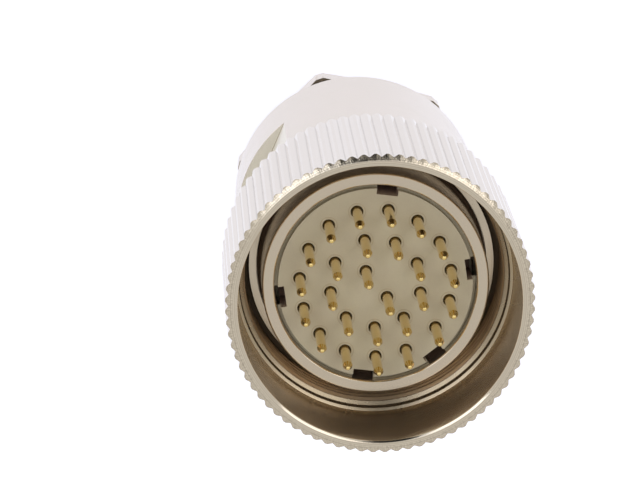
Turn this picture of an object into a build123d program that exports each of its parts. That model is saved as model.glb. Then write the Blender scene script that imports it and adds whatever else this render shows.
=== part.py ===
"""A 26-pin circular cable plug with a knurled, free-turning coupling nut.

The plug stands on its cable end: +Z is the mating axis and the pins point up.
The origin is on the axis, at the rear face of the clamp nut. The main key is on +Y.
Lengths are millimetres and angles are degrees, counter-clockwise seen from the pins.
"""
import os
from math import cos, pi, radians, sin

from build123d import *

# Clearances between pieces
running_clearance = 0.08
end_play = 0.12
seat_clearance = 0.02
pin_clearance = 0.05
insert_clearance = 0.04

# Pins, in three rings that are even but for a wider gap on the coding axis
pin_radius = 0.5
pin_projection = 6.3
pin_nose_depth = 0.42
pin_nose_step = 0.3
pin_counterbore_radius = 0.65
pin_counterbore_depth = 1.6
collar_radius = 0.8
collar_length = 1.0
barrel_radius = 0.7
barrel_length = 9.2
cup_radius = 0.45
cup_depth = 3.0
cup_window_depth = 2.2
coding_angle = 315.0
outer_ring_radius = 7.9
outer_ring_count = 15
outer_ring_gap_angle = 28.5
middle_ring_radius = 4.76
middle_ring_count = 9
middle_ring_gap_angle = 47.7
centre_pin_near = 1.66
centre_pin_far = 1.92

# Insert that holds the pins
insert_recess = 0.27
insert_rim = 0.9
insert_shoulder_step = 0.85
insert_nose_step = 0.33
nose_length = 5.1
front_insert_length = 8.3
rear_insert_length = 6.0
shoulder_height = 1.07
key_width = 2.2
key_recess = 0.67
key_end_gap = 0.5
key_angles = [90, 15, 195, 270, 315]
insert_tail_radius = outer_ring_radius + collar_radius + insert_rim
insert_shoulder_radius = insert_tail_radius + insert_shoulder_step
insert_nose_radius = insert_shoulder_radius - insert_nose_step
key_floor_radius = insert_nose_radius - key_recess

# Plug shell
sleeve_projection = 8.2
sleeve_wall = 1.29
sleeve_edge = 0.15
neck_step = 0.22
flange_step = 0.97
flange_thickness = 0.9
spigot_wall = 1.36
sleeve_bore_radius = insert_shoulder_radius + insert_clearance
sleeve_radius = sleeve_bore_radius + sleeve_wall
neck_radius = sleeve_radius + neck_step
flange_radius = neck_radius + flange_step
shell_rear_bore_radius = insert_tail_radius + insert_clearance
spigot_radius = shell_rear_bore_radius + spigot_wall

# Black O-ring in a groove at the sleeve's foot, and the flat seat ring round it
foot_ring_section = 0.86
foot_ring_proud = 0.34
foot_groove_width = 1.0
seat_ring_thickness = 0.6
foot_groove_radius = sleeve_radius + foot_ring_proud - foot_ring_section
seat_ring_bore_radius = sleeve_radius + foot_ring_proud + seat_clearance

# O-ring between spigot and body
o_ring_section = 0.8
o_ring_from_face = 0.7

# Snap ring that holds both inserts in the shell
ring_thickness = 0.9
ring_bite = 0.61
ring_width = 1.3
ring_gap_angle = 22.0
ring_land = 1.27
ring_outer_radius = shell_rear_bore_radius + ring_bite
ring_inner_radius = ring_outer_radius - ring_width

# Coupling nut, with the depth of its M28x1 thread
nut_length = 18.2
nut_lip_thickness = 1.0
flange_clearance = 0.489
thread_depth = 0.541
thread_relief_length = 1.4
thread_mouth_depth = 9.9
mouth_relief = 0.45
mouth_wall = 1.3
mouth_round = 0.35
entry_step = 0.35
front_chamfer = 0.55
rear_chamfer = 0.3
tooth_depth = 0.38
tooth_count = 80
crest_share = 0.24
thread_minor_radius = flange_radius + flange_clearance
thread_major_radius = thread_minor_radius + thread_depth
mouth_radius = thread_major_radius + mouth_relief
nut_tip_radius = mouth_radius + mouth_wall

# Rear body, whose wrench flats have the width of the clamp nut's hexagon
body_length = 27.2
flat_wall = 1.0
flat_cut = 1.7
body_edge = 0.15
flat_length = 17.2
flat_angle = 164.0
cavity_step = 0.4
cavity_taper = 3.1
web_thickness = 1.5
spanner_width = 2 * (spigot_radius + flat_wall)
body_radius = spanner_width / 2 + flat_cut
cavity_radius = spigot_radius - cavity_step
cavity_neck_radius = cavity_radius - cavity_taper

# Clamp nut, a pressure screw with a hexagonal head
tail_length = 1.9
tail_step = 1.4
tail_round = 1.0
hex_length = 3.5
hex_chamfer_angle = 30.0
hex_corner_angle = 54.2
hex_corner_step = 0.1
shank_length = 7.3
clamp_thread_step = 1.6
cable_exit_radius = 6.2
cable_exit_flare = 0.8
clamp_gap = 2.1
tail_radius = spanner_width / 2 - tail_step
clamp_thread_radius = spanner_width / 2 - clamp_thread_step
hex_bar_radius = body_radius - hex_corner_step

# Cable seal and its washer
seal_length = 4.0
seal_step = 0.6
seal_bore_radius = 4.8
seal_chamfer = 0.8
washer_thickness = 0.8
seal_radius = clamp_thread_radius - seal_step

# Heights along the axis, worked out from the rear end
hex_rear_z = tail_length
hex_front_z = hex_rear_z + hex_length
body_rear_z = hex_front_z + clamp_gap
body_front_z = body_rear_z + body_length
nut_rear_z = body_front_z + end_play
nut_front_z = nut_rear_z + nut_length
lip_front_z = nut_rear_z + nut_lip_thickness
flange_rear_z = lip_front_z + end_play
flange_front_z = flange_rear_z + flange_thickness
seat_ring_front_z = flange_front_z + seat_ring_thickness
foot_groove_front_z = flange_front_z + foot_groove_width
shell_front_z = flange_front_z + sleeve_projection
insert_front_z = shell_front_z - insert_recess
insert_joint_z = insert_front_z - front_insert_length
insert_rear_z = insert_joint_z - rear_insert_length
shoulder_z = insert_joint_z + shoulder_height
ring_rear_z = insert_rear_z - ring_thickness
spigot_rear_z = ring_rear_z - ring_land
flat_rear_z = body_front_z - flat_length
washer_rear_z = hex_front_z + shank_length
seal_rear_z = washer_rear_z + washer_thickness
seal_front_z = seal_rear_z + seal_length
web_front_z = seal_front_z + web_thickness
thread_mouth_z = nut_front_z - thread_mouth_depth


def turned(points):
    """Solid of revolution about the axis from a closed outline of (radius, height) points."""
    outline = Polyline(*[(radius, 0, height) for radius, height in points], close=True)
    return revolve(make_face(outline), Axis.Z, 360)


def post(radius, low, high, x=0.0, y=0.0):
    """Round bar between two heights."""
    centre = Pos(x, y, (low + high) / 2)
    return centre * Cylinder(radius, high - low)


def ring_positions():
    """Places of all the pins, as (x, y): outer ring, middle ring, then the centre pair."""
    places = []
    rings = [
        (outer_ring_radius, outer_ring_count, outer_ring_gap_angle, coding_angle),
        (middle_ring_radius, middle_ring_count, middle_ring_gap_angle, coding_angle - 180),
    ]
    for radius, count, gap, gap_angle in rings:
        step = (360 - gap) / (count - 1)
        for index in range(count):
            angle = radians(gap_angle + gap / 2 + index * step)
            places.append((radius * cos(angle), radius * sin(angle)))
    for radius, angle in ((centre_pin_near, coding_angle - 180), (centre_pin_far, coding_angle)):
        places.append((radius * cos(radians(angle)), radius * sin(radians(angle))))
    return places


def pin_hole(radius, low, high):
    """One hole for each pin, as a single cutting tool."""
    return [post(radius, low, high, x, y) for x, y in ring_positions()]


def hexagon(width, turn):
    """Hexagon by its width across flats, with a corner at the given angle."""
    return Rot(0, 0, turn) * RegularPolygon(width / 2, 6, major_radius=False)


def knurl_outline():
    """Star of straight teeth: a narrow flat crest and a sharp valley for each."""
    valley_radius = nut_tip_radius - tooth_depth
    pitch = 2 * pi / tooth_count
    points = []
    for index in range(tooth_count):
        centre = index * pitch
        for radius, angle in (
            (valley_radius, centre - pitch / 2),
            (nut_tip_radius, centre - crest_share * pitch / 2),
            (nut_tip_radius, centre + crest_share * pitch / 2),
        ):
            points.append((radius * cos(angle), radius * sin(angle)))
    return make_face(Polyline(*points, close=True))


def make_coupling_nut():
    """Knurled nut: plain mouth, threaded bore and an inner lip that keeps it on the shell."""
    knurled_bar = Pos(0, 0, nut_rear_z) * extrude(knurl_outline(), nut_length)
    envelope = turned([
        (0, nut_rear_z),
        (nut_tip_radius - rear_chamfer, nut_rear_z),
        (nut_tip_radius, nut_rear_z + rear_chamfer),
        (nut_tip_radius, nut_front_z - front_chamfer),
        (nut_tip_radius - front_chamfer, nut_front_z),
        (0, nut_front_z),
    ])
    lip_bore = neck_radius + running_clearance
    relief_front_z = lip_front_z + thread_relief_length
    relief_radius = thread_major_radius + seat_clearance
    entry_radius = mouth_radius - entry_step
    entry_cone = entry_radius - thread_minor_radius
    step_z = thread_mouth_z - entry_step
    cone_z = step_z - entry_step
    bore = turned([
        (0, nut_rear_z),
        (lip_bore, nut_rear_z),
        (lip_bore, lip_front_z),
        (relief_radius, lip_front_z),
        (relief_radius, relief_front_z - (relief_radius - thread_minor_radius)),
        (thread_minor_radius, relief_front_z),
        (thread_minor_radius, cone_z - entry_cone),
        (entry_radius, cone_z),
        (entry_radius, step_z),
        (mouth_radius, thread_mouth_z),
        (mouth_radius, nut_front_z),
        (0, nut_front_z),
    ])
    nut = (knurled_bar & envelope) - bore
    rims = nut.edges().filter_by(GeomType.CIRCLE).group_by(Axis.Z)[-1]
    return fillet(rims.sort_by(SortBy.RADIUS)[0], mouth_round)


def make_plug_shell():
    """Turned shell: sleeve, flange, neck for the nut and a spigot that screws into the body."""
    groove_front_z = body_front_z - o_ring_from_face
    groove_rear_z = groove_front_z - 1.3 * o_ring_section
    groove_radius = spigot_radius - o_ring_section
    ring_groove_radius = ring_outer_radius + seat_clearance
    return turned([
        (shell_rear_bore_radius, spigot_rear_z),
        (spigot_radius, spigot_rear_z),
        (spigot_radius, groove_rear_z),
        (groove_radius, groove_rear_z),
        (groove_radius, groove_front_z),
        (spigot_radius, groove_front_z),
        (spigot_radius, body_front_z),
        (neck_radius, body_front_z),
        (neck_radius, flange_rear_z),
        (flange_radius, flange_rear_z),
        (flange_radius, flange_front_z),
        (foot_groove_radius, flange_front_z),
        (foot_groove_radius, foot_groove_front_z),
        (sleeve_radius, foot_groove_front_z),
        (sleeve_radius, shell_front_z - sleeve_edge),
        (sleeve_radius - sleeve_edge, shell_front_z),
        (sleeve_bore_radius + sleeve_edge, shell_front_z),
        (sleeve_bore_radius, shell_front_z - sleeve_edge),
        (sleeve_bore_radius, shoulder_z),
        (shell_rear_bore_radius, shoulder_z),
        (shell_rear_bore_radius, insert_rear_z),
        (ring_groove_radius, insert_rear_z),
        (ring_groove_radius, ring_rear_z),
        (shell_rear_bore_radius, ring_rear_z),
    ])


def make_seat_ring():
    """Flat metal ring on the flange, where the rim of the mating receptacle stops."""
    return turned([
        (seat_ring_bore_radius, flange_front_z),
        (flange_radius, flange_front_z),
        (flange_radius, seat_ring_front_z),
        (seat_ring_bore_radius, seat_ring_front_z),
    ])


def make_foot_o_ring():
    """O-ring round the sleeve's foot, which seals in the bore of the receptacle."""
    centre_radius = foot_groove_radius + foot_ring_section / 2
    height = flange_front_z + foot_groove_width / 2
    return Pos(0, 0, height) * Torus(centre_radius, foot_ring_section / 2 - seat_clearance)


def make_spigot_o_ring():
    """O-ring in the spigot's groove, against the bore of the body."""
    centre_radius = spigot_radius - o_ring_section / 2
    height = body_front_z - o_ring_from_face - 0.65 * o_ring_section
    return Pos(0, 0, height) * Torus(centre_radius, o_ring_section / 2 - seat_clearance)


def make_insert_front():
    """Moulded front insert: keyed nose, shoulder, and a countersunk hole round every pin."""
    nose_rear_z = insert_front_z - nose_length
    key_depth = nose_length - key_end_gap
    blank = turned([
        (0, insert_joint_z),
        (insert_tail_radius, insert_joint_z),
        (insert_tail_radius, shoulder_z),
        (insert_shoulder_radius, shoulder_z),
        (insert_shoulder_radius, nose_rear_z),
        (insert_nose_radius, nose_rear_z),
        (insert_nose_radius, insert_front_z),
        (0, insert_front_z),
    ])
    holes = pin_hole(pin_radius + pin_clearance, insert_joint_z, insert_front_z)
    counterbores = pin_hole(pin_counterbore_radius, insert_front_z - pin_counterbore_depth, insert_front_z)
    notch_length = insert_shoulder_radius - key_floor_radius
    notch = Pos(key_floor_radius + notch_length / 2, 0, insert_front_z - key_depth / 2)
    notch = notch * Box(notch_length, key_width, key_depth)
    notches = [Rot(0, 0, angle) * notch for angle in key_angles]
    return blank - holes - counterbores - notches


def make_insert_rear():
    """Rear insert: traps the pin collars and lets the solder barrels through."""
    blank = post(insert_tail_radius, insert_rear_z, insert_joint_z)
    barrels = pin_hole(barrel_radius + pin_clearance, insert_rear_z, insert_joint_z)
    collars = pin_hole(collar_radius + pin_clearance, insert_joint_z - collar_length, insert_joint_z)
    return blank - barrels - collars


def make_snap_ring():
    """Open retaining ring in the shell's groove, behind the rear insert."""
    ring = post(ring_outer_radius, ring_rear_z, insert_rear_z) - post(ring_inner_radius, ring_rear_z, insert_rear_z)
    opening_width = 2 * ring_outer_radius * sin(radians(ring_gap_angle / 2))
    opening = Pos(ring_outer_radius, 0, (ring_rear_z + insert_rear_z) / 2)
    opening = opening * Box(ring_outer_radius, opening_width, ring_thickness)
    return ring - Rot(0, 0, coding_angle) * opening


def make_pin():
    """Turned contact on the axis: taper-nosed pin, collar and a solder barrel with an open cup."""
    tip_z = insert_front_z + pin_projection
    collar_rear_z = insert_joint_z - collar_length
    barrel_rear_z = insert_joint_z - barrel_length
    body = turned([
        (0, barrel_rear_z),
        (barrel_radius, barrel_rear_z),
        (barrel_radius, collar_rear_z),
        (collar_radius, collar_rear_z),
        (collar_radius, insert_joint_z),
        (pin_radius, insert_joint_z),
        (pin_radius, tip_z - pin_nose_depth),
        (pin_radius - pin_nose_step, tip_z),
        (0, tip_z),
    ])
    cup = post(cup_radius, barrel_rear_z, barrel_rear_z + cup_depth)
    window = Pos(barrel_radius, 0, barrel_rear_z + cup_window_depth / 2)
    window = window * Box(2 * barrel_radius, 2 * barrel_radius, cup_window_depth)
    return body - cup - window


def make_rear_body():
    """Turned body: socket for the spigot, wire space, web, seal bore and clamp thread."""
    socket_radius = spigot_radius + seat_clearance
    blank = turned([
        (clamp_thread_radius, body_rear_z),
        (body_radius - body_edge, body_rear_z),
        (body_radius, body_rear_z + body_edge),
        (body_radius, body_front_z - body_edge),
        (body_radius - body_edge, body_front_z),
        (socket_radius, body_front_z),
        (socket_radius, spigot_rear_z),
        (cavity_radius, spigot_rear_z),
        (cavity_radius, web_front_z + cavity_taper),
        (cavity_neck_radius, web_front_z),
        (cavity_neck_radius, seal_front_z),
        (seal_radius + seat_clearance, seal_front_z),
        (seal_radius + seat_clearance, washer_rear_z),
        (clamp_thread_radius, washer_rear_z),
    ])
    depth = body_radius - spanner_width / 2
    flat = Pos(spanner_width / 2 + depth / 2, 0, (flat_rear_z + body_front_z) / 2)
    flat = flat * Box(depth, 2 * body_radius, flat_length)
    flats = [Rot(0, 0, flat_angle + turn) * flat for turn in (0, 180)]
    return blank - flats


def make_cable_seal():
    """Rubber sleeve that the clamp nut squeezes onto the cable."""
    return turned([
        (seal_bore_radius, seal_rear_z),
        (seal_radius - seal_chamfer, seal_rear_z),
        (seal_radius, seal_rear_z + seal_chamfer),
        (seal_radius, seal_front_z - seal_chamfer),
        (seal_radius - seal_chamfer, seal_front_z),
        (seal_bore_radius, seal_front_z),
    ])


def make_thrust_washer():
    """Metal washer between the turning clamp nut and the seal."""
    return post(seal_radius, washer_rear_z, seal_rear_z) - post(cable_exit_radius, washer_rear_z, seal_rear_z)


def make_clamp_nut():
    """Pressure screw: threaded shank, hexagon with turned corners, and a rounded tail."""
    head_radius = spanner_width / 2
    drop = (hex_bar_radius - head_radius) * sin(radians(hex_chamfer_angle)) / cos(radians(hex_chamfer_angle))
    head = Pos(0, 0, hex_rear_z) * extrude(hexagon(spanner_width, hex_corner_angle), hex_length)
    head &= turned([
        (0, hex_rear_z),
        (head_radius, hex_rear_z),
        (hex_bar_radius, hex_rear_z + drop),
        (hex_bar_radius, hex_front_z),
        (0, hex_front_z),
    ])
    tail = post(tail_radius, 0, hex_rear_z)
    tail = fillet(tail.edges().group_by(Axis.Z)[0], tail_round)
    shank_radius = clamp_thread_radius - seat_clearance
    shank = post(shank_radius, hex_front_z, washer_rear_z)
    bore = turned([
        (0, 0),
        (cable_exit_radius + cable_exit_flare, 0),
        (cable_exit_radius, cable_exit_flare),
        (cable_exit_radius, washer_rear_z),
        (0, washer_rear_z),
    ])
    return head + tail + shank - bore


def main():
    """Write every piece to its own file."""
    os.makedirs("parts", exist_ok=True)
    pieces = {
        "coupling_nut": make_coupling_nut(),
        "plug_shell": make_plug_shell(),
        "seat_ring": make_seat_ring(),
        "foot_o_ring": make_foot_o_ring(),
        "spigot_o_ring": make_spigot_o_ring(),
        "insert_front": make_insert_front(),
        "insert_rear": make_insert_rear(),
        "snap_ring": make_snap_ring(),
        "rear_body": make_rear_body(),
        "cable_seal": make_cable_seal(),
        "thrust_washer": make_thrust_washer(),
        "clamp_nut": make_clamp_nut(),
    }
    pin = make_pin()
    for number, (x, y) in enumerate(ring_positions(), start=1):
        pieces[f"pin_{number:02d}"] = Pos(x, y, 0) * pin
    for name, piece in pieces.items():
        export_step(piece, f"parts/{name}.step")


main()
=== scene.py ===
"""Visual model of a 26-pin circular cable plug with a knurled coupling nut.

Laid out as an add-on and run as a script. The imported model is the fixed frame, in metres, +Z along the
mating axis. Outlines of turned pieces are (radius, height) points in millimetres.
"""
from math import atan2, cos, hypot, pi, radians, sin

import bpy
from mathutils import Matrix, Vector


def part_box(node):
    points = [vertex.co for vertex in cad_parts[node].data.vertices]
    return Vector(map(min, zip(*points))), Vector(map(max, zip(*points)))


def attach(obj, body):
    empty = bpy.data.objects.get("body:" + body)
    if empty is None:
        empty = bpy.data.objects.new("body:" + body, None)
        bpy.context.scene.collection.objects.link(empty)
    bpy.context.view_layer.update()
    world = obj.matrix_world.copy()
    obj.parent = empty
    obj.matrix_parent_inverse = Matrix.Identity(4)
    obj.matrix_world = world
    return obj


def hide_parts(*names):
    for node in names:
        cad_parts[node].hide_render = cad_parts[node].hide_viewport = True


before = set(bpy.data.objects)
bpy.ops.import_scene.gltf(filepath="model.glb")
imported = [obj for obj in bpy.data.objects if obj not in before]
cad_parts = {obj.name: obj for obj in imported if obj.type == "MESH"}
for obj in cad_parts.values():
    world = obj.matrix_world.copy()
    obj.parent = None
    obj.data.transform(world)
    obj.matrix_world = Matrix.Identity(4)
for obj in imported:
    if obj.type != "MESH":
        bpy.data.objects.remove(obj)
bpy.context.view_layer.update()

bl_info = {
    "name": "Circular Cable Plug",
    "version": (1, 0, 0),
    "blender": (4, 5, 0),
    "location": "View3D > Sidebar > Plug",
    "description": "Builds the coupling nut, thread, shell, insert, pins and cable clamp of a circular plug",
    "category": "Object",
}

# One millimetre, in metres
MM = 0.001
# Corners nearer than this, in metres, are one corner
MERGE_DISTANCE = 2e-7
PIN_COUNT = 26
# Degrees from +X, as seen from the mating end
KEY_ANGLES = (90, 15, 195, 270, 315)
FLAT_ANGLE = 164
# Half the width of a keyway, in millimetres
KEY_HALF_WIDTH = 1.12
# How deep the grain of a surface is, in metres
GRAIN_DEPTH = 0.00001


def linear(code):
    """Linear colour, with alpha, of an sRGB hex code."""
    parts = [int(code[i:i + 2], 16) / 255 for i in (1, 3, 5)]
    return tuple(c / 12.92 if c <= 0.04045 else ((c + 0.055) / 1.055) ** 2.4 for c in parts) + (1.0,)


def height(node, top):
    """Lower or upper end of a CAD node along the axis, in millimetres."""
    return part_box(node)[1 if top else 0].z / MM


def pin_place(number):
    """Where a pin's axis meets the floor, in metres."""
    low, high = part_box(f"pin_{number:02d}")
    return ((low.x + high.x) / 2, (low.y + high.y) / 2, 0)


def colour_setting(code, title):
    """Setting for a finish's colour, given as an sRGB hex code."""
    return bpy.props.FloatVectorProperty(
        name=title, description=f"Base colour of the {title.lower()}", subtype="COLOR", size=4,
        min=0.0, max=1.0, default=linear(code))


def length_setting(value, title, note):
    """Setting for a length, given in millimetres."""
    return bpy.props.FloatProperty(
        name=title, description=note, unit="LENGTH", precision=5, min=0.0, default=value * MM)


class PlugSizes(bpy.types.PropertyGroup):
    """Sizes of the visual pieces"""
    tip_radius: length_setting(15.75, "Knurl radius", "From the axis to the crests of the knurl")
    tooth_depth: length_setting(0.30, "Knurl depth", "From the crests to the valleys of the knurl")
    tooth_count: bpy.props.IntProperty(
        name="Knurl teeth", description="Teeth round the coupling nut", min=12, default=80)
    crest_share: bpy.props.FloatProperty(
        name="Crest share", description="Part of the pitch that is the flat crest", subtype="FACTOR",
        min=0.0, max=1.0, default=0.24)
    mouth_radius: length_setting(14.45, "Mouth radius", "Plain bore in front of the thread")
    mouth_depth: length_setting(9.9, "Mouth depth", "From the nut's front to the end of its plain bore")
    thread_radius: length_setting(14.0, "Thread major radius", "Bottom of the M28 thread's grooves")
    thread_crest_radius: length_setting(13.459, "Thread minor radius", "Crests of the M28 thread")
    thread_pitch: length_setting(1.0, "Thread pitch", "Advance of the thread in one turn")
    pin_radius: length_setting(0.5, "Pin radius", "Round pin of one contact")
    step_inner_radius: length_setting(10.0, "Step inner radius", "Inside of the step in the insert's rim")
    step_outer_radius: length_setting(10.46, "Step outer radius", "Outside of the step in the insert's rim")
    step_drop: length_setting(0.9, "Step drop", "From the insert's face down to its step")


class PlugFinish(bpy.types.PropertyGroup):
    """Colours of the finishes"""
    nickel: colour_setting("#D7CBBF", "Nickel plate")
    nickel_cloud: colour_setting("#D2CABC", "Nickel clouds")
    # Painted light outside the nut, a painted warm reflection in its mouth, and painted shade at its thread's
    # entry
    outer_painted_light: colour_setting("#E3DBD0", "Nickel on the nut")
    mouth_painted_reflection: colour_setting("#DECDB5", "Nickel in the nut's mouth")
    entry_painted_shade: colour_setting("#B0A491", "Nickel at the thread's entry")
    # Milled nickel: duller, and paler partly as painted light
    milled: colour_setting("#EEEBE3", "Milled nickel")
    burr: colour_setting("#8C8577", "Burr streaks")
    facing: colour_setting("#A39A8C", "Facing rings")
    # Painted shade on the knurl's wall, deepest in its grooves
    knurl_shade: colour_setting("#3A3632", "Polish residue")
    # Painted shade: the thread's brownish tone deep in the nut
    thread_shade: colour_setting("#B09A80", "Oiled thread")
    # Painted shade in the root of the thread
    groove_oil: colour_setting("#4E4032", "Oil in the thread's root")
    # Painted shade on the nut's lip, deep in its corner
    corner_dust: colour_setting("#8A7458", "Dust on the lip")
    gold: colour_setting("#EED594", "Gold plate")
    moulding: colour_setting("#CFC4B3", "Moulded insert")
    moulding_cloud: colour_setting("#CAC5B2", "Moulding clouds")
    moulding_line: colour_setting("#C2B7A1", "Moulding lines")
    # Painted shade deep in the keyways
    keyway: colour_setting("#B0968A", "Keyway walls")
    rubber: colour_setting("#25221F", "Rubber")
    dusty_rubber: colour_setting("#7A6658", "Dusty rubber")
    spring: colour_setting("#77777A", "Spring steel")
    floor: colour_setting("#C4C4C6", "Floor")


def add_node(tree, kind, settings=None, links=None):
    """Adds a shader node, sets its sockets or attributes, and links its inputs to other nodes' outputs."""
    node = tree.nodes.new(kind)
    for key, value in (settings or {}).items():
        if isinstance(key, int) or key in node.inputs:
            node.inputs[key].default_value = value
        else:
            setattr(node, key, value)
    for key, source in (links or {}).items():
        tree.links.new(source, node.inputs[key])
    return node


def new_material(name):
    """Material with an empty tree, its Principled shader and its Object coordinates."""
    material = bpy.data.materials.new(name)
    material.use_nodes = True
    tree = material.node_tree
    tree.nodes.clear()
    shader = add_node(tree, "ShaderNodeBsdfPrincipled")
    add_node(tree, "ShaderNodeOutputMaterial", links={"Surface": shader.outputs["BSDF"]})
    place = add_node(tree, "ShaderNodeTexCoord").outputs["Object"]
    return material, tree, shader, place


def tinted(tree, base, amount, factor, shader, other=None):
    """Lets the base colour vary a little between a darker and a lighter tone, or towards another colour."""
    darker = tuple(c * (1 - amount) for c in base[:3]) + (1.0,)
    lighter = tuple(min(1.0, c * (1 + amount)) for c in (other or base)[:3]) + (1.0,)
    mix = add_node(tree, "ShaderNodeMix", {"data_type": "RGBA", 6: darker, 7: lighter}, {0: factor})
    tree.links.new(mix.outputs[2], shader.inputs["Base Color"])


def tint_towards(tree, shader, share, colour):
    """Mixes a share of another colour into what the base colour is linked to."""
    plain = shader.inputs["Base Color"].links[0].from_socket
    mix = add_node(tree, "ShaderNodeMix", {"data_type": "RGBA", 7: colour}, {0: share, 6: plain})
    tree.links.new(mix.outputs[2], shader.inputs["Base Color"])


def vary_gloss(tree, shader, factor, low, high):
    """Lets the roughness vary with the middle of a noise, and gives back what it is linked to."""
    gloss = add_node(tree, "ShaderNodeMapRange",
                     {"From Min": 0.3, "From Max": 0.7, "To Min": low, "To Max": high}, {"Value": factor})
    tree.links.new(gloss.outputs["Result"], shader.inputs["Roughness"])
    return gloss.outputs["Result"]


def raise_grain(tree, shader, grain, strength):
    """Gives the surface a fine grain, and gives back what its normal is linked to."""
    bump = add_node(tree, "ShaderNodeBump", {"Strength": strength, "Distance": GRAIN_DEPTH},
                    {"Height": grain})
    tree.links.new(bump.outputs["Normal"], shader.inputs["Normal"])
    return bump.outputs["Normal"]


def nickel_plate(name, dull=0.0, knurled=False):
    """Nickel-plated turned brass: a warm grey mirror, with fine lathe lines that run round the axis. A milled
    face is duller, and its paler colour is partly painted light. The knurled nut is polished outside, and its
    knurl and rim show their tools."""
    material, tree, shader, place = new_material(name)
    finish = bpy.context.scene.plug_finish
    shader.inputs["Metallic"].default_value = 0.7 if dull else 0.9
    split = add_node(tree, "ShaderNodeSeparateXYZ", links={"Vector": place})
    level = split.outputs["Z"]
    flat = add_node(tree, "ShaderNodeCombineXYZ", links={"X": split.outputs["X"], "Y": split.outputs["Y"]})
    reach = add_node(tree, "ShaderNodeVectorMath", {"operation": "LENGTH"},
                     {"Vector": flat.outputs["Vector"]}).outputs["Value"]
    along = add_node(tree, "ShaderNodeCombineXYZ", links={"X": reach, "Z": level})
    # Lathe lines are about 0.08 mm apart
    lines = add_node(tree, "ShaderNodeTexNoise", {"Scale": 12000.0, "Detail": 2.0, "Roughness": 0.6},
                     {"Vector": along.outputs["Vector"]})
    # Handling marks and plating clouds are about 3 mm across
    clouds = add_node(tree, "ShaderNodeTexNoise", {"Scale": 330.0, "Detail": 4.0, "Roughness": 0.55},
                      {"Vector": place}).outputs["Fac"]
    if dull:
        tinted(tree, finish.milled, 0.03, clouds, shader)
    else:
        tinted(tree, finish.nickel, 0.03, clouds, shader, finish.nickel_cloud)
    if knurled:
        gloss = vary_gloss(tree, shader, clouds, 0.06, 0.12)
        shade_bore_light_outside(tree, shader, gloss, reach)
        shade_knurl_grooves(tree, shader, reach, level)
    else:
        vary_gloss(tree, shader, clouds, 0.13 + dull, 0.20 + dull)
    normal = raise_grain(tree, shader, lines.outputs["Fac"], 0.4)
    if knurled:
        mark_front(tree, shader, normal, split, reach)
    return material


def shade_bore_light_outside(tree, shader, gloss, reach):
    """Outside its bore the nut is paler: painted light. The wall of its mouth is warmer: a painted
    reflection.
    The thread's entry behind the mouth is darker, which is painted shade, and duller."""
    finish = bpy.context.scene.plug_finish
    mouth = bpy.context.scene.plug_sizes.mouth_radius
    # One finish goes over into the next between 0.02 and 0.08 mm from the radius of the mouth's wall
    near, far = 0.02 * MM, 0.08 * MM
    inside = add_node(tree, "ShaderNodeMapRange", {"From Min": mouth + far, "From Max": mouth + near},
                      {"Value": reach}).outputs["Result"]
    outside = add_node(tree, "ShaderNodeMath", {"operation": "SUBTRACT", 0: 1.0}, {1: inside})
    past_entry = add_node(tree, "ShaderNodeMapRange", {"From Min": mouth - far, "From Max": mouth - near},
                          {"Value": reach})
    wall = add_node(tree, "ShaderNodeMath", {"operation": "MULTIPLY"},
                    {0: inside, 1: past_entry.outputs["Result"]}).outputs["Value"]
    # Painted shade inside, a painted reflection on the mouth's wall, and painted light outside
    tint_towards(tree, shader, inside, finish.entry_painted_shade)
    tint_towards(tree, shader, wall, finish.mouth_painted_reflection)
    tint_towards(tree, shader, outside.outputs["Value"], finish.outer_painted_light)
    metal = add_node(tree, "ShaderNodeMapRange", {"To Min": 1.0, "To Max": 0.93}, {"Value": inside})
    tree.links.new(metal.outputs["Result"], shader.inputs["Metallic"])
    rougher = add_node(tree, "ShaderNodeMath", {"operation": "MULTIPLY_ADD", 1: 0.18}, {0: inside, 2: gloss})
    roughness = add_node(tree, "ShaderNodeMath", {"operation": "MULTIPLY_ADD", 1: -0.11},
                         {0: wall, 2: rougher.outputs["Value"]})
    tree.links.new(roughness.outputs["Value"], shader.inputs["Roughness"])


def shade_knurl_grooves(tree, shader, reach, level):
    """Painted shade: a little darker all over the knurl's wall, and more in the bottom of its grooves."""
    sizes = bpy.context.scene.plug_sizes
    valley = sizes.tip_radius - sizes.tooth_depth
    wall_end = (height("coupling_nut", True) - 0.4) * MM
    darkening = add_node(tree, "ShaderNodeMapRange",
                    {"From Min": valley + 0.01 * MM, "From Max": valley + 0.06 * MM,
                     "To Min": 0.38, "To Max": 0.16}, {"Value": reach})
    outer = add_node(tree, "ShaderNodeMath", {"operation": "GREATER_THAN", 1: valley - 0.08 * MM}, {0: reach})
    wall = add_node(tree, "ShaderNodeMath", {"operation": "LESS_THAN", 1: wall_end}, {0: level})
    both = add_node(tree, "ShaderNodeMath", {"operation": "MULTIPLY"},
                    {0: outer.outputs["Value"], 1: wall.outputs["Value"]})
    share = add_node(tree, "ShaderNodeMath", {"operation": "MULTIPLY"},
                     {0: both.outputs["Value"], 1: darkening.outputs["Result"]})
    tint_towards(tree, shader, share.outputs["Value"], bpy.context.scene.plug_finish.knurl_shade)


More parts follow.
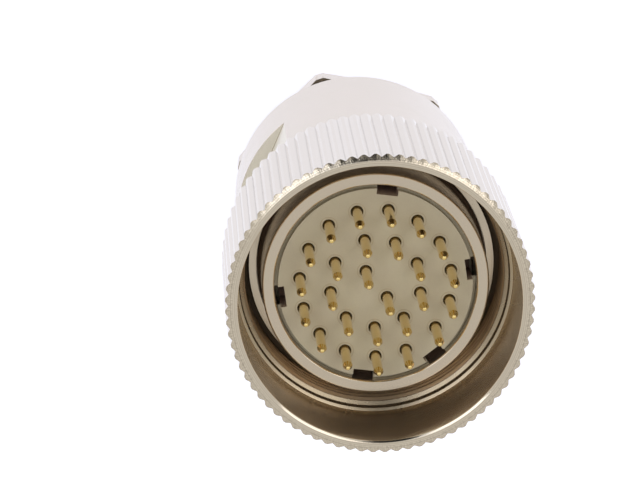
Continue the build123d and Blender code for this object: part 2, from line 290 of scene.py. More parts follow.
def mark_front(tree, shader, normal, split, reach):
    """Tool marks on the nut's front: streaks up the chamfer, where the knurl's burrs tore, and rings on the
    rim, where it was faced."""
    finish = bpy.context.scene.plug_finish
    tip = bpy.context.scene.plug_sizes.tip_radius
    # The marks start just below the chamfer, and the streaks are faint on the flat rim inside it
    start = (height("coupling_nut", True) - 0.3) * MM
    at_front = add_node(tree, "ShaderNodeMapRange", {"From Min": start, "From Max": start + 0.04 * MM},
                        {"Value": split.outputs["Z"]}).outputs["Result"]
    slope = add_node(tree, "ShaderNodeMapRange",
                     {"From Min": tip - 0.9 * MM, "From Max": tip - 0.6 * MM, "To Min": 0.12},
                     {"Value": reach})
    share = add_node(tree, "ShaderNodeMath", {"operation": "MULTIPLY"},
                     {0: slope.outputs["Result"], 1: at_front}).outputs["Value"]
    # Streaks are about 0.15 mm apart round the nut, and three times as long up the slope
    turn = add_node(tree, "ShaderNodeMath", {"operation": "ARCTAN2"},
                    {0: split.outputs["Y"], 1: split.outputs["X"]})
    round_nut = add_node(tree, "ShaderNodeMath", {"operation": "MULTIPLY", 1: tip},
                         {0: turn.outputs["Value"]})
    up_slope = add_node(tree, "ShaderNodeMath", {"operation": "MULTIPLY", 1: 0.35}, {0: reach})
    spread = add_node(tree, "ShaderNodeCombineXYZ",
                      links={"X": round_nut.outputs["Value"], "Y": up_slope.outputs["Value"]})
    streaks = add_node(tree, "ShaderNodeTexNoise", {"Scale": 6500.0, "Detail": 3.0, "Roughness": 0.7},
                       {"Vector": spread.outputs["Vector"]}).outputs["Fac"]
    torn = add_node(tree, "ShaderNodeMapRange",
                    {"From Min": 0.42, "From Max": 0.62, "To Min": 0.0, "To Max": 0.35}, {"Value": streaks})
    torn_share = add_node(tree, "ShaderNodeMath", {"operation": "MULTIPLY"},
                          {0: share, 1: torn.outputs["Result"]})
    tint_towards(tree, shader, torn_share.outputs["Value"], finish.burr)
    # The tool that faced the rim left rings about 0.15 mm apart
    across = add_node(tree, "ShaderNodeCombineXYZ", links={"X": reach})
    rings = add_node(tree, "ShaderNodeTexNoise", {"Scale": 7000.0, "Detail": 2.0, "Roughness": 0.6},
                     {"Vector": across.outputs["Vector"]})
    faced = add_node(tree, "ShaderNodeMapRange",
                     {"From Min": 0.42, "From Max": 0.58, "To Min": 0.0, "To Max": 0.35},
                     {"Value": rings.outputs["Fac"]})
    faced_share = add_node(tree, "ShaderNodeMath", {"operation": "MULTIPLY"},
                           {0: faced.outputs["Result"], 1: at_front})
    tint_towards(tree, shader, faced_share.outputs["Value"], finish.facing)
    rough = add_node(tree, "ShaderNodeMath", {"operation": "MULTIPLY"}, {0: share, 1: streaks})
    bump = add_node(tree, "ShaderNodeBump", {"Strength": 0.6, "Distance": 0.03 * MM},
                    {"Height": rough.outputs["Value"], "Normal": normal})
    tree.links.new(bump.outputs["Normal"], shader.inputs["Normal"])


def oiled_thread():
    """Cut nickel-plated thread, less metallic and duller than the walls, in a brownish painted shade in
    patches of about 1 mm."""
    material, tree, shader, place = new_material("oiled_thread")
    shader.inputs["Metallic"].default_value = 0.6
    shader.inputs["Roughness"].default_value = 0.3
    clouds = add_node(tree, "ShaderNodeTexNoise", {"Scale": 900.0, "Detail": 3.0}, {"Vector": place})
    tinted(tree, bpy.context.scene.plug_finish.thread_shade, 0.1, clouds.outputs["Fac"], shader)
    return material


def gold_plate():
    """Gold-plated turned contact: pale polished gold over nickel, slightly duller in patches of about 1 mm,
    where tools held it."""
    material, tree, shader, place = new_material("polished_gold")
    shader.inputs["Metallic"].default_value = 1.0
    clouds = add_node(tree, "ShaderNodeTexNoise", {"Scale": 900.0, "Detail": 3.0}, {"Vector": place})
    tinted(tree, bpy.context.scene.plug_finish.gold, 0.07, clouds.outputs["Fac"], shader)
    vary_gloss(tree, shader, clouds.outputs["Fac"], 0.10, 0.20)
    return material


def spring_steel():
    """Phosphated spring steel: dark grey metal, evenly dull, with phosphate clouds of about 0.7 mm."""
    material, tree, shader, place = new_material("phosphated_steel")
    shader.inputs["Metallic"].default_value = 1.0
    shader.inputs["Roughness"].default_value = 0.42
    clouds = add_node(tree, "ShaderNodeTexNoise", {"Scale": 1500.0, "Detail": 3.0}, {"Vector": place})
    tinted(tree, bpy.context.scene.plug_finish.spring, 0.12, clouds.outputs["Fac"], shader)
    return material


def moulded_insert():
    """Glass-filled polyester moulding: warm grey, fine matt, with a faint flow pattern and tiny specks."""
    material, tree, shader, place = new_material("moulded_polyester")
    finish = bpy.context.scene.plug_finish
    shader.inputs["IOR"].default_value = 1.55
    # The flow pattern is about 3 mm across, and the specks and the grain 0.15 mm
    flow = add_node(tree, "ShaderNodeTexNoise", {"Scale": 340.0, "Detail": 5.0, "Roughness": 0.6},
                    {"Vector": place}).outputs["Fac"]
    specks = add_node(tree, "ShaderNodeTexNoise", {"Scale": 6500.0, "Detail": 2.0},
                      {"Vector": place}).outputs["Fac"]
    both = add_node(tree, "ShaderNodeMath", {"operation": "MULTIPLY_ADD", 1: 0.4}, {0: specks, 2: flow})
    tinted(tree, finish.moulding, 0.13, both.outputs["Value"], shader, finish.moulding_cloud)
    vary_gloss(tree, shader, flow, 0.42, 0.56)
    raise_grain(tree, shader, specks, 0.3)
    return material


def keyway_walls():
    """The same moulding in the keyways, with painted shade: browner with depth, in specks of about 0.3 mm."""
    material, tree, shader, place = new_material("dusty_polyester")
    finish = bpy.context.scene.plug_finish
    shader.inputs["Roughness"].default_value = 0.6
    top = height("insert_front", True) * MM
    split = add_node(tree, "ShaderNodeSeparateXYZ", links={"Vector": place})
    grain = add_node(tree, "ShaderNodeTexNoise", {"Scale": 3000.0, "Detail": 2.0}, {"Vector": place})
    depth = add_node(tree, "ShaderNodeMapRange",
                     {"From Min": top - 0.1 * MM, "From Max": top - 3.0 * MM, "To Min": 0.35},
                     {"Value": split.outputs["Z"]})
    uneven = add_node(tree, "ShaderNodeMath", {"operation": "MULTIPLY_ADD", 1: 0.2, "use_clamp": True},
                      {0: grain.outputs["Fac"], 2: depth.outputs["Result"]})
    mix = add_node(tree, "ShaderNodeMix", {"data_type": "RGBA", 6: finish.moulding, 7: finish.keyway},
                   {0: uneven.outputs["Value"]})
    tree.links.new(mix.outputs[2], shader.inputs["Base Color"])
    return material


def soft_finish(name, setting, roughness, ior):
    """Rubber, moulding, dust or oil: matt, in clouds of 2 mm, with a grain of about 0.1 mm."""
    material, tree, shader, place = new_material(name)
    colour = getattr(bpy.context.scene.plug_finish, setting)
    shader.inputs["IOR"].default_value = ior
    grain = add_node(tree, "ShaderNodeTexNoise", {"Scale": 9000.0, "Detail": 2.0}, {"Vector": place})
    clouds = add_node(tree, "ShaderNodeTexNoise", {"Scale": 500.0, "Detail": 3.0}, {"Vector": place})
    tinted(tree, colour, 0.08, clouds.outputs["Fac"], shader)
    vary_gloss(tree, shader, clouds.outputs["Fac"], roughness - 0.06, roughness + 0.06)
    raise_grain(tree, shader, grain.outputs["Fac"], 0.4)
    return material


MAKERS = {
    "turned_nickel": lambda: nickel_plate("turned_nickel"),
    "knurled_nickel": lambda: nickel_plate("knurled_nickel", knurled=True),
    "milled_nickel": lambda: nickel_plate("milled_nickel", dull=0.34),
    "oiled_thread": oiled_thread,
    "polished_gold": gold_plate,
    "phosphated_steel": spring_steel,
    "moulded_polyester": moulded_insert,
    # The keyways' moulding, with painted shade that deepens with depth
    "dusty_polyester": keyway_walls,
    # Painted shade on the lip, in the corner deep inside the nut: mid brown
    "corner_dust": lambda: soft_finish("corner_dust", "corner_dust", 0.5, 1.5),
    # Painted shade in the root of the thread: dark brown lines
    "groove_oil": lambda: soft_finish("groove_oil", "groove_oil", 0.5, 1.5),
    # The edge of the mould's core round a contact: a hair-thin line, a little browner than the face
    "moulding_line": lambda: soft_finish("moulding_line", "moulding_line", 0.5, 1.55),
    # Moulded nitrile rubber: black and matt
    "black_nitrile": lambda: soft_finish("black_nitrile", "rubber", 0.6, 1.52),
    # The same rubber under dust: dark brown
    "dusty_nitrile": lambda: soft_finish("dusty_nitrile", "dusty_rubber", 0.6, 1.52),
}
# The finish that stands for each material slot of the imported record
FINISHES = {
    "nickel_plate": "turned_nickel",
    "gold_plate": "polished_gold",
    "insert_plastic": "moulded_polyester",
    "black_rubber": "black_nitrile",
    "spring_steel": "phosphated_steel",
}


def finish_of(name):
    """The material of a finish, made the first time that it is asked for."""
    return bpy.data.materials.get(name) or MAKERS[name]()


def deselect_all():
    """Leaves edit mode and deselects every object."""
    if bpy.context.object and bpy.context.object.mode != "OBJECT":
        bpy.ops.object.mode_set(mode="OBJECT")
    bpy.ops.object.select_all(action="DESELECT")


def select_only(piece):
    """Selects one piece and makes it the active one."""
    deselect_all()
    piece.select_set(True)
    bpy.context.view_layer.objects.active = piece


def join_to(piece, *others):
    """Joins other objects to a piece."""
    select_only(piece)
    for other in others:
        other.select_set(True)
    bpy.ops.object.join()


def apply_modifier(piece, kind, **settings):
    """Adds a modifier, sets it and applies it."""
    select_only(piece)
    bpy.ops.object.modifier_add(type=kind)
    modifier = piece.modifiers[-1]
    for key, value in settings.items():
        setattr(modifier, key, value)
    bpy.ops.object.modifier_apply(modifier=modifier.name)


def merge_doubles(piece):
    """Merges a piece's doubles, and leaves it in edit mode with all of it selected."""
    select_only(piece)
    bpy.ops.object.mode_set(mode="EDIT")
    bpy.ops.mesh.select_all(action="SELECT")
    bpy.ops.mesh.remove_doubles(threshold=MERGE_DISTANCE)


def clean_up(piece):
    """Merges doubles and points the faces outwards."""
    merge_doubles(piece)
    bpy.ops.mesh.normals_make_consistent(inside=False)
    bpy.ops.object.mode_set(mode="OBJECT")


def turned(name, outline, steps):
    """Solid of revolution: a circle primitive whose corners become the outline, spun about the axis."""
    deselect_all()
    bpy.ops.mesh.primitive_circle_add(vertices=len(outline), radius=MM, fill_type="NOTHING")
    piece = bpy.context.active_object
    piece.name = piece.data.name = name
    for vertex, (radius, level) in zip(piece.data.vertices, outline):
        vertex.co = (radius * MM, 0, level * MM)
    bpy.ops.object.mode_set(mode="EDIT")
    bpy.ops.mesh.select_all(action="SELECT")
    bpy.ops.mesh.spin(steps=steps, angle=2 * pi, center=(0, 0, 0), axis=(0, 0, 1))
    bpy.ops.object.mode_set(mode="OBJECT")
    clean_up(piece)
    return piece


def round_edges(piece, width, segments=2, angle=28.0, clamp=True):
    """Breaks the edges that turn by more than an angle."""
    apply_modifier(piece, "BEVEL", width=width, segments=segments, limit_method="ANGLE",
                   angle_limit=radians(angle), use_clamp_overlap=clamp)


def shade(piece, angle):
    """Smooth curves and sharp corners, with flat faces kept flat up to their rounded edges."""
    select_only(piece)
    bpy.ops.object.shade_smooth_by_angle(angle=radians(angle))
    apply_modifier(piece, "WEIGHTED_NORMAL", mode="FACE_AREA", weight=60, keep_sharp=True)


def finish_piece(piece, slot, body, *nodes, finish=None, angle=30.0):
    """Gives the piece its finish and its body, and hides the CAD nodes that it stands for."""
    piece.data.materials.clear()
    piece.data.materials.append(finish_of(finish or FINISHES[slot]))
    shade(piece, angle)
    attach(piece, body)
    if nodes:
        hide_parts(*nodes)


def copy_of_node(node, name):
    """Merged copy of a CAD node, with its flat faces made whole again."""
    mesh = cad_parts[node].data.copy()
    mesh.name = name
    piece = bpy.data.objects.new(name, mesh)
    bpy.context.scene.collection.objects.link(piece)
    merge_doubles(piece)
    bpy.ops.mesh.dissolve_limited(angle_limit=radians(0.4), delimit=set())
    bpy.ops.object.mode_set(mode="OBJECT")
    return piece


def dress(node, name, slot, width, segments=2, finish=None):
    """Copy of a CAD node of the plug's body with its edges broken and its finish on."""
    piece = copy_of_node(node, name)
    round_edges(piece, width, segments)
    finish_piece(piece, slot, "plug", node, finish=finish)
    return piece


def refinish(piece, finish, belongs):
    """Gives another finish to the faces for which belongs(centre, normal) is true."""
    piece.data.materials.append(finish_of(finish))
    index = len(piece.data.materials) - 1
    for face in piece.data.polygons:
        if belongs(face.center, face.normal):
            face.material_index = index


class PLUG_OT_coupling_nut(bpy.types.Operator):
    """Knurled coupling nut with a plain mouth, an inner lip and a bevelled rim"""
    bl_idname = "plug.coupling_nut"
    bl_label = "Coupling nut"
    # Millimetres
    lip_bore = 12.08
    lip_length = 1.0
    entry_length = 1.2
    chamfer = 0.66
    chamfer_drop = 0.25
    valley_break = 0.08
    crest_break = 0.05

    def execute(self, context):
        sizes = context.scene.plug_sizes
        rear, front = height("coupling_nut", False), height("coupling_nut", True)
        piece = turned("knurled_nut", self.outline(sizes, rear, front), 3 * sizes.tooth_count)
        self.cut_teeth(piece, sizes, rear, front)
        round_edges(piece, 0.035 * MM, 2, 24.0, clamp=False)
        finish_piece(piece, "nickel_plate", "nut", "coupling_nut", finish="knurled_nickel", angle=18.0)
        lip_front = (rear + self.lip_length) * MM
        thread_front = (front - self.entry_length) * MM - sizes.mouth_depth

        def on_lip(centre, normal):
            upward = normal.z > 0.5 and abs(centre.z - lip_front) < 0.2 * MM
            return upward and hypot(centre.x, centre.y) > (self.lip_bore + 0.1) * MM

        def in_root(centre, normal):
            depth = abs(hypot(centre.x, centre.y) - sizes.thread_radius)
            return depth < 0.08 * MM and centre.z < thread_front

        # Painted shade on the lip's face, deep in the corner
        refinish(piece, "corner_dust", on_lip)
        # Painted shade in the thread's root, as dark lines
        refinish(piece, "groove_oil", in_root)
        return {"FINISHED"}

    def outline(self, sizes, rear, front):
        """Profile of the nut, from the lip through the bore and round the rim to the wall's rear edge."""
        mouth = sizes.mouth_radius / MM
        root = sizes.thread_radius / MM
        relief = root + 0.02
        # The entry widens from the thread's root to the mouth by its throat, its shoulder and its land
        throat = 13.62
        land = mouth - 0.34
        shoulder = land - 0.04
        valley = (sizes.tip_radius - sizes.tooth_depth) / MM
        face = sizes.tip_radius / MM - self.chamfer
        lip_front = rear + self.lip_length
        entry = front - sizes.mouth_depth / MM
        return [
            (self.lip_bore + 0.15, rear),
            (self.lip_bore, rear + 0.15),
            (self.lip_bore, lip_front),
            (relief, lip_front),
            (relief, lip_front + 0.8),
            (root, lip_front + 0.9),
            (root, entry - self.entry_length),
            (throat, entry - 1.12),
            (throat, entry - 1.04),
            (shoulder, entry - 0.86),
            (shoulder, entry - 0.48),
            (land, entry - 0.44),
            (land, entry - 0.14),
            (mouth, entry),
            (mouth, front - 0.18),
            (mouth + 0.03, front - 0.12),
            (mouth + 0.15, front - 0.055),
            (mouth + 0.30, front - 0.005),
            (mouth + 0.33, front),
            (face, front),
            (valley, front - self.chamfer_drop * (valley - face) / self.chamfer),
            (valley, rear + 0.02),
            (valley - self.valley_break, rear),
        ]

    def cut_teeth(self, piece, sizes, rear, front):
        """Moves the wall's columns to their places on the teeth and raises the crests."""
        tip = sizes.tip_radius
        valley = tip - sizes.tooth_depth
        rear_edge = valley - self.valley_break * MM
        middle = (rear + front) / 2 * MM
        tolerance = 1e-7
        pitch = 2 * pi / sizes.tooth_count
        half_crest = sizes.crest_share * pitch / 2
        # Every third column is the bottom of a valley, and the two after it are the edges of a crest
        for vertex in piece.data.vertices:
            x, y, z = vertex.co
            radius = hypot(x, y)
            column = round(atan2(y, x) / (pitch / 3))
            tooth, place = divmod(column + 1, 3)
            angle = tooth * pitch + (-pitch / 2, -half_crest, half_crest)[place]
            if place and radius > valley - tolerance:
                radius = tip
                z = (front - self.chamfer_drop) * MM if z > middle else (rear + self.crest_break) * MM
            elif place and abs(radius - rear_edge) < tolerance:
                radius = tip - self.crest_break * MM
            vertex.co = (radius * cos(angle), radius * sin(angle), z)


class PLUG_OT_nut_thread(bpy.types.Operator):
    """Helical ridge of the M28x1 thread inside the coupling nut"""
    bl_idname = "plug.nut_thread"
    bl_label = "Nut thread"
    turns = 6
    steps = 120
    # Half widths of the ridge at its foot and on top, in pitches
    foot_width = 0.43
    top_width = 0.15
    # Millimetres that the ridge's foot and its faded ends lie in the wall
    foot_depth = 0.05
    end_depth = 0.35
    # Millimetres: the ridge is whole from entry_length behind the mouth to relief_place behind the front, and
    # its first turn starts run_in behind that
    entry_length = 1.4
    relief_place = 15.8
    run_in = 0.9

    def execute(self, context):
        sizes = context.scene.plug_sizes
        pitch = sizes.thread_pitch
        crest = sizes.thread_crest_radius
        root = sizes.thread_radius + self.foot_depth * MM
        buried = sizes.thread_radius + self.end_depth * MM
        front = height("coupling_nut", True) * MM
        entry = front - sizes.mouth_depth - self.entry_length * MM
        relief = front - self.relief_place * MM
        start = relief - self.run_in * MM
        deselect_all()
        bpy.ops.mesh.primitive_circle_add(vertices=4, radius=MM, fill_type="NGON")
        piece = context.active_object
        piece.name = piece.data.name = "nut_thread"
        section = [
            (root, -self.foot_width),
            (root, self.foot_width),
            (crest, self.top_width),
            (crest, -self.top_width),
        ]
        for vertex, (radius, offset) in zip(piece.data.vertices, section):
            vertex.co = (radius, 0, start + offset * pitch)
        apply_modifier(piece, "SCREW", angle=2 * pi, screw_offset=pitch, iterations=self.turns, axis="Z",
                       steps=self.steps, render_steps=self.steps, use_merge_vertices=False)
        clean_up(piece)
        for vertex in piece.data.vertices:
            x, y, z = vertex.co
            radius = hypot(x, y)
            # The ridge fades towards the entry cone and the relief, and its end lies inside the wall
            least = max(crest, crest + 3 * (z - entry), crest + relief - z)
            if least > sizes.thread_radius:
                least = buried
            grown = max(radius, least) / radius
            vertex.co = (x * grown, y * grown, z)
        round_edges(piece, 0.04 * MM, 1, 20.0)
        # The thread's brownish tone is painted shade
        finish_piece(piece, "nickel_plate", "nut", finish="oiled_thread")
        return {"FINISHED"}


class PLUG_OT_plug_shell(bpy.types.Operator):
    """Turned shell: sleeve round the insert, flange, neck and spigot"""
    bl_idname = "plug.plug_shell"
    bl_label = "Plug shell"

    def execute(self, context):
        dress("plug_shell", "sleeve_and_flange", "nickel_plate", 0.05 * MM)
        return {"FINISHED"}


class PLUG_OT_seals(bpy.types.Operator):
    """Seat ring and O-ring at the sleeve's foot, spigot ring, snap ring, cable seal and its washer"""
    bl_idname = "plug.seals"
    bl_label = "Seals and rings"

    def execute(self, context):
        dress("seat_ring", "flat_seat_ring", "nickel_plate", 0.05 * MM)
        dress("foot_o_ring", "sleeve_foot_ring", "black_rubber", 0.01 * MM, 1, "dusty_nitrile")
        dress("cable_seal", "cable_grip", "black_rubber", 0.15 * MM)
        dress("thrust_washer", "clamp_washer", "nickel_plate", 0.08 * MM)
        dress("spigot_o_ring", "body_ring", "black_rubber", 0.01 * MM, 1)
        dress("snap_ring", "insert_ring", "spring_steel", 0.05 * MM)
        return {"FINISHED"}


class PLUG_OT_insert(bpy.types.Operator):
    """Moulded front insert with five keyways, and the rear insert behind it"""
    bl_idname = "plug.insert"
    bl_label = "Insert"

    def execute(self, context):
        piece = dress("insert_front", "keyed_insert", "insert_plastic", 0.04 * MM)
        # The keyways' walls and floors, below the broken edge of the face
        face_edge = (height("insert_front", True) - 0.06) * MM
        inside_floor = 9.40 * MM
        half_width = (KEY_HALF_WIDTH + 0.02) * MM

        def keyway_wall(centre, normal):
            return centre.z < face_edge and self.in_keyway(centre, inside_floor, half_width)

        # Painted shade on the keyways' walls, browner with depth
        refinish(piece, "dusty_polyester", keyway_wall)
        self.add_step(context, piece)
        self.add_rings(context, piece)
        dress("insert_rear", "rear_insert", "insert_plastic", 0.04 * MM)
        return {"FINISHED"}

    def in_keyway(self, point, least_reach, half_width):
        """Whether a point lies in one of the keyways, and further out than a radius."""
        for angle in KEY_ANGLES:
            turn = radians(angle)
            out = point.x * cos(turn) + point.y * sin(turn)
            across = point.y * cos(turn) - point.x * sin(turn)
            if out > least_reach and abs(across) < half_width:
                return True
        return False

    def add_step(self, context, insert):
        """Joins the step between the keyways, just below the insert's face, to the insert."""
        sizes = context.scene.plug_sizes
        inner, outer = sizes.step_inner_radius / MM, sizes.step_outer_radius / MM
        level = height("insert_front", True) - sizes.step_drop / MM
        foot = level - 0.4
        step = turned("insert_step", [(inner, level), (outer, level), (outer, foot), (inner, foot)], 240)
        bpy.ops.object.mode_set(mode="EDIT")
        bpy.ops.mesh.select_mode(type="FACE")
        bpy.ops.mesh.select_all(action="DESELECT")
        bpy.ops.object.mode_set(mode="OBJECT")
        for face in step.data.polygons:
            face.select = self.in_keyway(face.center, 0, KEY_HALF_WIDTH * MM)
        bpy.ops.object.mode_set(mode="EDIT")
        bpy.ops.mesh.delete(type="FACE")
        bpy.ops.object.mode_set(mode="OBJECT")
        step.data.materials.append(finish_of("moulded_polyester"))
        join_to(insert, step)

    def add_rings(self, context, insert):
        """Joins a faint moulding line round every pin's hole to the insert's face."""
        face = height("insert_front", True)
        # A line 0.07 mm wide that stands 0.008 mm proud
        inner, outer = 0.85, 0.92
        proud, foot = face + 0.008, face - 0.02
        model = turned("moulding_line", [(inner, foot), (inner, proud), (outer, proud), (outer, foot)], 32)
        model.data.materials.append(finish_of("moulding_line"))
        shape = model.data.copy()
        bpy.data.objects.remove(model)
        rings = []
        for number in range(1, PIN_COUNT + 1):
            ring = bpy.data.objects.new("moulding_line", shape.copy())
            context.scene.collection.objects.link(ring)
            ring.location = pin_place(number)
            rings.append(ring)
        join_to(insert, *rings)


class PLUG_OT_pins(bpy.types.Operator):
    """Twenty-six taper-nosed pins with collars and open solder cups"""
    bl_idname = "plug.pins"
    bl_label = "Pins"
    # Radii in millimetres
    crown = 0.3
    collar = 0.8
    cup = 0.7
    cup_bore = 0.45
    # Lengths in millimetres: the cut starts a little behind the cup's end
    nose_length = 1.0
    collar_length = 1.0
    cup_depth = 3.0
    cut_length = 2.4
    cut_middle = 1.0

    def execute(self, context):
        model = self.model(context)
        shape = model.data.copy()
        bpy.data.objects.remove(model)
        for number in range(1, PIN_COUNT + 1):
            piece = bpy.data.objects.new(f"contact_{number:02d}", shape.copy())
            context.scene.collection.objects.link(piece)
            select_only(piece)
            piece.location = pin_place(number)
            bpy.ops.object.transform_apply(location=True, rotation=False, scale=False)
            finish_piece(piece, "gold_plate", "plug", f"pin_{number:02d}")
        return {"FINISHED"}

    def model(self, context):
        """One pin on the main axis, with the side of its solder cup cut open."""
        pin = context.scene.plug_sizes.pin_radius / MM
        rear, front = height("pin_01", False), height("pin_01", True)
        nose_end = front - self.nose_length
        collar_front = height("insert_rear", True)
        collar_rear = collar_front - self.collar_length
        outline = []
        # The crown bends down from the tip in five steps, and the taper starts at its edge
        for step in range(6):
            angle = radians(90 - 8.8 * step)
            outline.append((self.crown * cos(angle), front - self.crown + self.crown * sin(angle)))
        outline += [
            (pin - 0.015, nose_end + 0.03),
            (pin, nose_end - 0.03),
            (pin, collar_front),
            (self.collar, collar_front),
            (self.collar, collar_rear),
            (self.cup, collar_rear),
            (self.cup, rear),
            (self.cup_bore, rear),
            (self.cup_bore, rear + self.cup_depth),
            (0, rear + self.cup_depth + 0.2),
        ]
        model = turned("contact_pin", outline, 32)
        deselect_all()
        bpy.ops.mesh.primitive_cube_add(size=1.0)
        cutter = context.active_object
        cutter.scale = (2 * self.cup * MM, 2 * self.cup * MM, self.cut_length * MM)
        cutter.location = (self.cup * MM, 0, (rear + self.cut_middle) * MM)
        bpy.ops.object.transform_apply(location=True, rotation=True, scale=True)
        apply_modifier(model, "BOOLEAN", operation="DIFFERENCE", object=cutter, solver="EXACT")
        bpy.data.objects.remove(cutter)
        return model


class PLUG_OT_rear_body(bpy.types.Operator):
    """Long turned body with two wrench flats"""
    bl_idname = "plug.rear_body"
    bl_label = "Rear body"
    # Millimetres: the flats' distance from the axis, and about how far below the body's front they end
    flat_distance = 12.0
    flat_end_depth = 17.3

    def execute(self, context):
        piece = dress("rear_body", "rear_shell", "nickel_plate", 0.05 * MM)
        flat_end = (height("rear_body", True) - self.flat_end_depth) * MM
        outwards = Vector((cos(radians(FLAT_ANGLE)), sin(radians(FLAT_ANGLE)), 0))

        def milled(centre, normal):
            out = abs(centre.dot(outwards)) - self.flat_distance * MM
            flat = abs(normal.dot(outwards)) > 0.99 and abs(out) < 0.02 * MM
            end = normal.z > 0.99 and abs(centre.z - flat_end) < 0.15 * MM and out > -0.1 * MM
            return flat or end

        # The flats' milled nickel is duller, and its paler colour is partly painted light
        refinish(piece, "milled_nickel", milled)
        return {"FINISHED"}


class PLUG_OT_clamp_nut(bpy.types.Operator):
    """Hexagonal pressure screw that closes the cable end"""
    bl_idname = "plug.clamp_nut"
    bl_label = "Clamp nut"
    # Millimetres from the axis to where the hexagon's corners stand out
    corner_start = 11.5

    def execute(self, context):
        piece = dress("clamp_nut", "cable_clamp_nut", "nickel_plate", 0.07 * MM)

        def turned_corner(centre, normal):
            return normal.z > 0.8 and hypot(centre.x, centre.y) > self.corner_start * MM

        # Painted light: the hexagon's corner tops get the paler milled nickel
        refinish(piece, "milled_nickel", turned_corner)
        return {"FINISHED"}


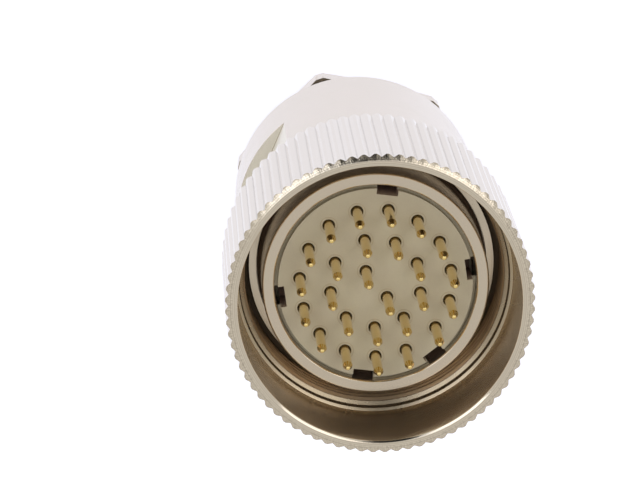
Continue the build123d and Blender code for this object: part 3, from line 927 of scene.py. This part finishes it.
class PLUG_OT_stage(bpy.types.Operator):
    """Pale floor, two soft boxes behind the plug, a dark card between them, and the camera"""
    bl_idname = "plug.stage"
    bl_label = "Stage"
    # Metres
    lamp_distance = 0.75
    lamp_target = 0.035

    def execute(self, context):
        scene = context.scene
        self.floor(context)
        self.world(scene)
        self.lamp("left_light", azimuth=142, power=0.46, code="#FFFFFF")
        self.lamp("right_light", azimuth=49, power=0.44, code="#FFF9F0")
        self.camera(scene)
        scene.view_settings.view_transform = "Standard"
        return {"FINISHED"}

    def floor(self, context):
        """White paper under the plug, its shade uneven over about 5 mm."""
        deselect_all()
        bpy.ops.mesh.primitive_grid_add(x_subdivisions=8, y_subdivisions=8, size=6.0,
                                        location=(0, 0, -0.02 * MM))
        floor = context.active_object
        floor.name = "floor"
        material, tree, shader, place = new_material("floor_paper")
        shader.inputs["Roughness"].default_value = 0.8
        grain = add_node(tree, "ShaderNodeTexNoise", {"Scale": 200.0, "Detail": 2.0}, {"Vector": place})
        tinted(tree, context.scene.plug_finish.floor, 0.01, grain.outputs["Fac"], shader)
        # The paper glows near the plug, where the lamps' spill is strongest
        shader.inputs["Emission Color"].default_value = (0.67, 0.69, 0.80, 1.0)
        reach = add_node(tree, "ShaderNodeVectorMath", {"operation": "LENGTH"}, {"Vector": place})
        glow = add_node(tree, "ShaderNodeMapRange",
                        {"interpolation_type": "SMOOTHSTEP", "From Min": 0.07, "From Max": 0.18,
                         "To Min": 1.0, "To Max": 0.3}, {"Value": reach.outputs["Value"]})
        tree.links.new(glow.outputs["Result"], shader.inputs["Emission Strength"])
        floor.data.materials.append(material)

    def world(self, scene):
        """Soft warm light from all sides, but for a dark card low behind the plug, between the two lamps."""
        world = bpy.data.worlds.new("studio")
        world.use_nodes = True
        scene.world = world
        tree = world.node_tree
        tree.nodes.clear()
        direction = add_node(tree, "ShaderNodeTexCoord").outputs["Generated"]
        rise = add_node(tree, "ShaderNodeSeparateXYZ", links={"Vector": direction}).outputs["Z"]
        ramp = add_node(tree, "ShaderNodeValToRGB", links={"Fac": rise})
        low, high = ramp.color_ramp.elements
        low.position, low.color = 0.0, (0.78, 0.75, 0.69, 1.0)
        high.position, high.color = 0.55, (0.72, 0.69, 0.62, 1.0)
        # The card stands towards 99.7 degrees
        ahead = radians(99.7)
        side = ahead - pi / 2
        across = add_node(tree, "ShaderNodeVectorMath",
                          {"operation": "DOT_PRODUCT", 1: (cos(side), sin(side), 0.0)}, {0: direction})
        width = add_node(tree, "ShaderNodeMath", {"operation": "ABSOLUTE"}, {0: across.outputs["Value"]})
        along = add_node(tree, "ShaderNodeVectorMath",
                         {"operation": "DOT_PRODUCT", 1: (cos(ahead), sin(ahead), 0.0)}, {0: direction})
        # Each edge of the card is a soft step, from where there is none of it to where it is full
        edges = (
            (width.outputs["Value"], 0.20, 0.15),
            (along.outputs["Value"], 0.25, 0.33),
            (rise, 0.03, 0.08),
            (rise, 0.95, 0.92),
        )
        card = None
        for value, none, full in edges:
            step = add_node(tree, "ShaderNodeMapRange",
                            {"interpolation_type": "SMOOTHSTEP", "From Min": none, "From Max": full},
                            {"Value": value}).outputs["Result"]
            card = step if card is None else add_node(
                tree, "ShaderNodeMath", {"operation": "MULTIPLY"}, {0: step, 1: card}).outputs["Value"]
        strength = add_node(tree, "ShaderNodeMapRange", {"To Min": 1.0, "To Max": 0.04}, {"Value": card})
        light = add_node(tree, "ShaderNodeBackground",
                         links={"Color": ramp.outputs["Color"], "Strength": strength.outputs["Result"]})
        add_node(tree, "ShaderNodeOutputWorld", links={"Surface": light.outputs["Background"]})

    def lamp(self, name, azimuth, power, code, rise=58, width=0.29, depth=0.43):
        """Soft box that looks at the plug from an azimuth and a height in degrees."""
        level = cos(radians(rise))
        aim = Vector((level * cos(radians(azimuth)), level * sin(radians(azimuth)), sin(radians(rise))))
        data = bpy.data.lights.new(name, "AREA")
        data.shape = "RECTANGLE"
        data.size = width
        data.size_y = depth
        data.energy = power
        data.color = linear(code)[:3]
        lamp = bpy.data.objects.new(name, data)
        lamp.location = aim * self.lamp_distance + Vector((0, 0, self.lamp_target))
        lamp.rotation_euler = (-aim).to_track_quat("-Z", "Y").to_euler()
        bpy.context.scene.collection.objects.link(lamp)

    def camera(self, scene):
        """The photograph's camera: 0.4 m away and 16.5 degrees off the mating axis."""
        data = bpy.data.cameras.new("camera")
        data.lens = 196.875
        data.sensor_width = 36.0
        data.clip_start = 0.01
        data.clip_end = 50.0
        camera = bpy.data.objects.new("camera", data)
        camera.location = (-0.033394, 0.095223, 0.392675)
        camera.rotation_euler = (radians(-15.0869), radians(-2.5964), radians(7.0))
        scene.collection.objects.link(camera)
        scene.camera = camera


class PLUG_PT_panel(bpy.types.Panel):
    """Buttons and settings of the plug"""
    bl_label = "Circular plug"
    bl_idname = "PLUG_PT_panel"
    bl_space_type = "VIEW_3D"
    bl_region_type = "UI"
    bl_category = "Plug"

    def draw(self, context):
        for operator in OPERATORS:
            self.layout.operator(operator.bl_idname)
        for settings in (context.scene.plug_sizes, context.scene.plug_finish):
            box = self.layout.box()
            for key in settings.__annotations__:
                box.prop(settings, key)


OPERATORS = (
    PLUG_OT_stage,
    PLUG_OT_coupling_nut,
    PLUG_OT_nut_thread,
    PLUG_OT_plug_shell,
    PLUG_OT_seals,
    PLUG_OT_insert,
    PLUG_OT_pins,
    PLUG_OT_rear_body,
    PLUG_OT_clamp_nut,
)
CLASSES = (PlugSizes, PlugFinish, *OPERATORS, PLUG_PT_panel)


def register():
    for cls in CLASSES:
        bpy.utils.register_class(cls)
    bpy.types.Scene.plug_sizes = bpy.props.PointerProperty(type=PlugSizes)
    bpy.types.Scene.plug_finish = bpy.props.PointerProperty(type=PlugFinish)


def unregister():
    del bpy.types.Scene.plug_finish
    del bpy.types.Scene.plug_sizes
    for cls in reversed(CLASSES):
        bpy.utils.unregister_class(cls)


def main():
    """Builds everything."""
    register()
    for operator in OPERATORS:
        group, name = operator.bl_idname.split(".")
        getattr(getattr(bpy.ops, group), name)()
    deselect_all()


if __name__ == "__main__":
    main()
